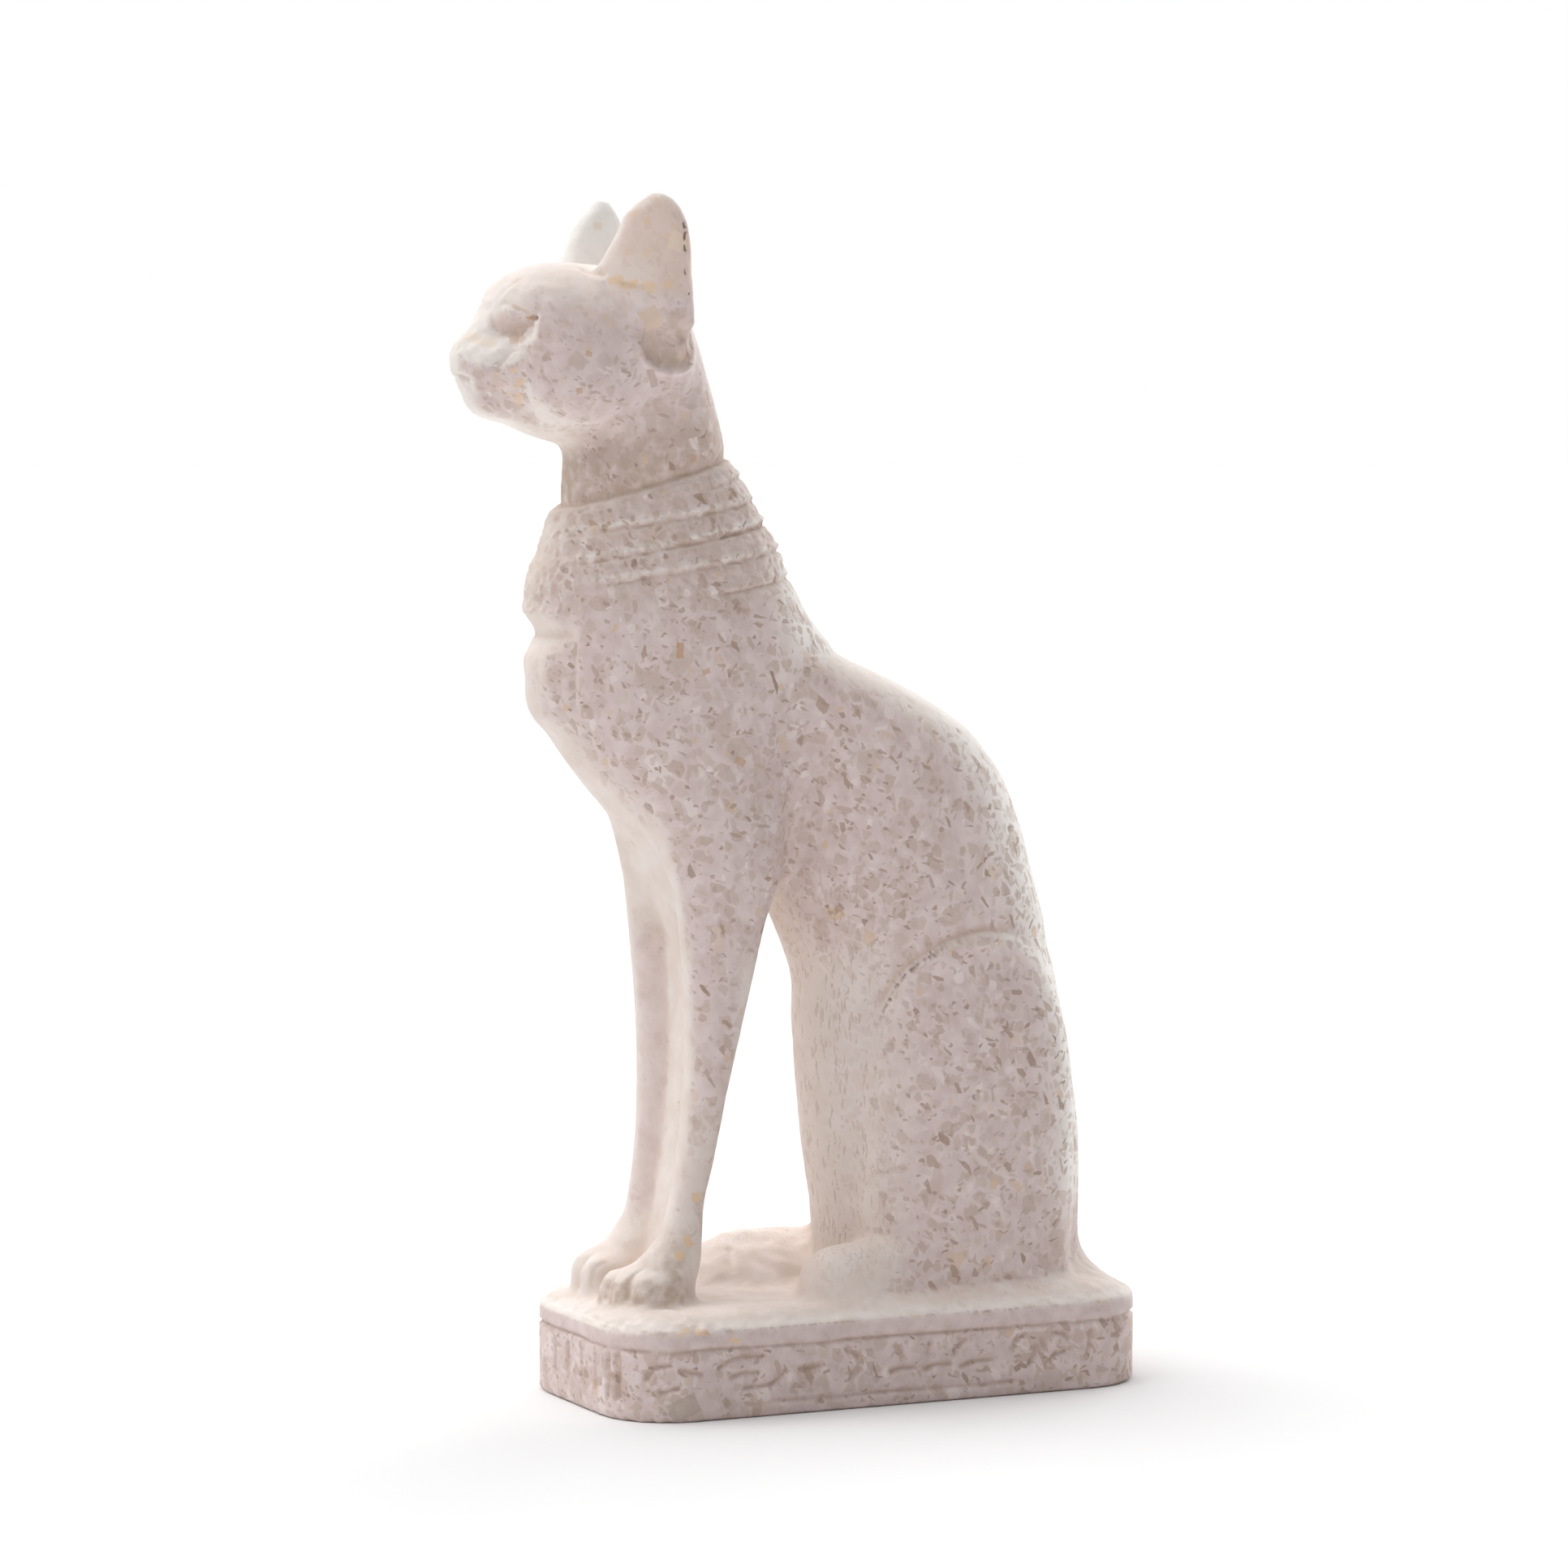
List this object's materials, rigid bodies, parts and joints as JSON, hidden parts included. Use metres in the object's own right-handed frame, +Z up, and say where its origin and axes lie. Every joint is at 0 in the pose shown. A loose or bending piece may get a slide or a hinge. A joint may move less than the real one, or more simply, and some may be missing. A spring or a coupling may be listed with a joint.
{
  "type": "seated cat figure on a low plinth",
  "caption": "Slender seated cat with upright ears, broad banded collar and straight forelegs, cast in one piece with a low round-cornered plinth that it stands on.",
  "frame": {"origin": "middle of the plinth's underside", "axes": "+Z up; the cat faces -Y and its left side is +X"},
  "size_m": [0.0462, 0.1145, 0.1933],
  "materials": {
    "cast_stone": "pale warm composite stone, cream binder with beige and grey angular chips, satin, lightly worn"
  },
  "bodies": {
    "root": {"seated_cat_on_plinth": "cast_stone"}
  },
  "joints": []
}
